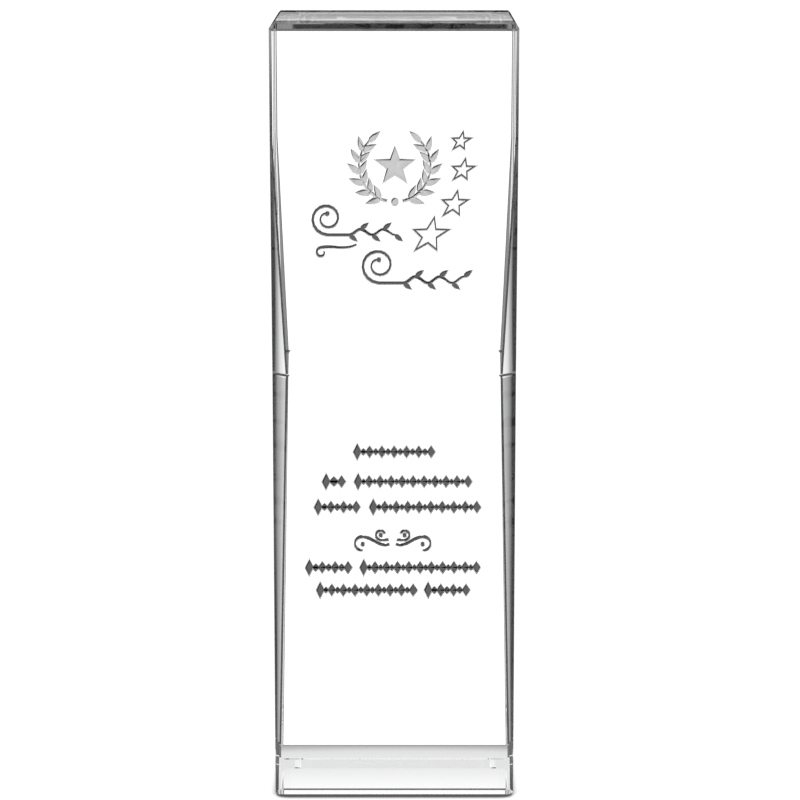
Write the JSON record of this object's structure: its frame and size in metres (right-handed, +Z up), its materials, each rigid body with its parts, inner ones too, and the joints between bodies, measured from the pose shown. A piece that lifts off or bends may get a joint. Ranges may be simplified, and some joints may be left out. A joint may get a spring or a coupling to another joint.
{
  "type": "crystal award",
  "caption": "Tall clear crystal award block with tapering edge facets, chamfered ends, and a recessed colour-filled engraving of a wreath, stars, flourishes and ornament rows.",
  "frame": {"origin": "centre of the bottom face, on the surface that the award stands on", "axes": "+Z up along the tower, -Y out of the engraved front face, +X to the right as seen from the front"},
  "size_m": [0.063, 0.053, 0.204],
  "materials": {
    "crystal": "optical crystal, polished clear on every face",
    "pale_fill": "pale grey colour fill in the broad engraved strokes, matt",
    "dark_fill": "dark grey colour fill in the fine engraved strokes, matt"
  },
  "bodies": {
    "root": {"crystal_tower": "crystal", "wreath_branch_left": "pale_fill", "wreath_branch_right": "pale_fill", "wreath_knot": "pale_fill", "wreath_star": "pale_fill", "star_outline_1": "dark_fill", "star_outline_2": "dark_fill", "star_outline_3": "dark_fill", "star_outline_4": "dark_fill", "flourish_upper": "dark_fill", "flourish_lower": "dark_fill", "flourish_tail": "dark_fill", "row_1": "dark_fill", "row_2_left": "dark_fill", "row_2_right": "dark_fill", "row_3_left": "dark_fill", "row_3_right": "dark_fill", "row_4_left": "dark_fill", "row_4_right": "dark_fill", "row_5_left": "dark_fill", "row_5_right": "dark_fill", "scroll_outer_left": "dark_fill", "scroll_outer_right": "dark_fill", "scroll_inner_left": "dark_fill", "scroll_inner_right": "dark_fill", "scroll_dot_outer_left": "dark_fill", "scroll_dot_outer_right": "dark_fill", "scroll_dot_inner_left": "dark_fill", "scroll_dot_inner_right": "dark_fill"}
  },
  "joints": []
}
